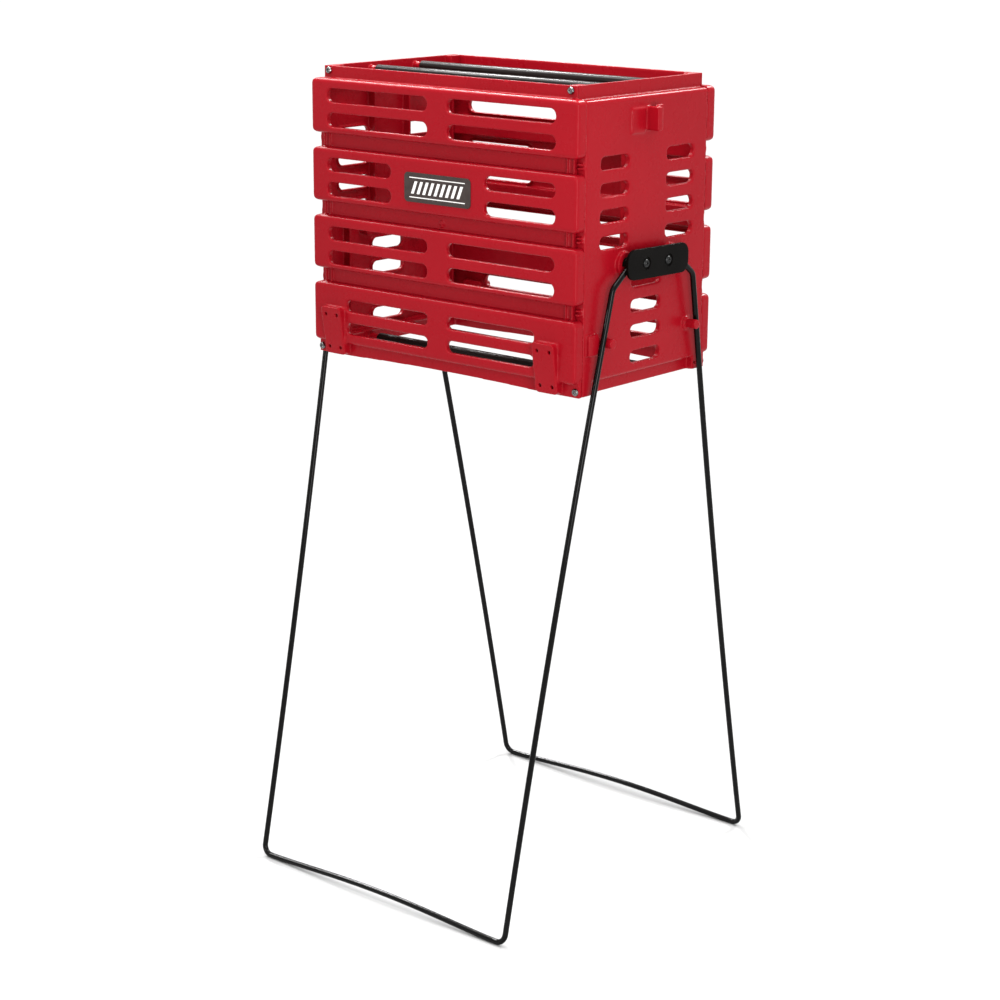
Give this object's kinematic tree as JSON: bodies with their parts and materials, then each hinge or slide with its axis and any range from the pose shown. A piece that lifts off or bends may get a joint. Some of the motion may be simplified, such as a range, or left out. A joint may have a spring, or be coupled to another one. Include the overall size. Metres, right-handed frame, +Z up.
{
  "type": "ball pick-up hopper",
  "caption": "Slotted red basket with roller bars across its mouth and bottom, on two wire legs that swing over to form a carrying handle.",
  "frame": {"origin": "on the floor, under the middle of the basket", "axes": "+X along the long side, -Y out of the front with the badge, +Z up"},
  "size_m": [0.4156, 0.4462, 0.9091],
  "materials": {
    "red_plastic": "moulded satin gloss",
    "coated_wire": "black powder coat",
    "black_plastic": "fine moulded texture",
    "steel": "zinc plated",
    "dark_screws": "black oxide",
    "label": "plain satin label"
  },
  "bodies": {
    "basket": {"front_panel": "red_plastic", "rear_panel": "red_plastic", "left_panel": "red_plastic", "right_panel": "red_plastic", "badge": "label", "axle_top_front": "steel", "axle_top_rear": "steel", "axle_bottom_front": "steel", "axle_bottom_rear": "steel", "pivot_cover_left": "black_plastic", "pivot_cover_right": "black_plastic", "cover_screws_left": "dark_screws", "cover_screws_right": "dark_screws", "panel_screws_front_top": "steel", "panel_screws_front_bottom": "steel", "panel_screws_rear_top": "steel", "panel_screws_rear_bottom": "steel"},
    "roller_top_front": {"roller_top_front": "black_plastic"},
    "roller_top_rear": {"roller_top_rear": "black_plastic"},
    "roller_bottom_front": {"roller_bottom_front": "black_plastic"},
    "roller_bottom_rear": {"roller_bottom_rear": "black_plastic"},
    "front_leg": {"front_leg": "coated_wire", "front_leg_hubs": "black_plastic"},
    "rear_leg": {"rear_leg": "coated_wire", "rear_leg_hubs": "black_plastic"}
  },
  "joints": [
    {"name": "roller_top_front_spin", "type": "hinge", "parent": "basket", "child": "roller_top_front", "pos_m": [0, -0.037, 0.9006], "axis": [1, 0, 0], "continuous": true},
    {"name": "roller_top_rear_spin", "type": "hinge", "parent": "basket", "child": "roller_top_rear", "pos_m": [0, 0.037, 0.9006], "axis": [1, 0, 0], "continuous": true},
    {"name": "roller_bottom_front_spin", "type": "hinge", "parent": "basket", "child": "roller_bottom_front", "pos_m": [0, -0.037, 0.5936], "axis": [1, 0, 0], "continuous": true},
    {"name": "roller_bottom_rear_spin", "type": "hinge", "parent": "basket", "child": "roller_bottom_rear", "pos_m": [0, 0.037, 0.5936], "axis": [1, 0, 0], "continuous": true},
    {"name": "front_leg_swing", "type": "hinge", "parent": "basket", "child": "front_leg", "pos_m": [0, -0.0405, 0.7208], "axis": [-1, 0, 0], "range_deg": [0, 168.5]},
    {"name": "rear_leg_swing", "type": "hinge", "parent": "basket", "child": "rear_leg", "pos_m": [0, 0.0405, 0.7208], "axis": [1, 0, 0], "range_deg": [0, 168.5]}
  ]
}
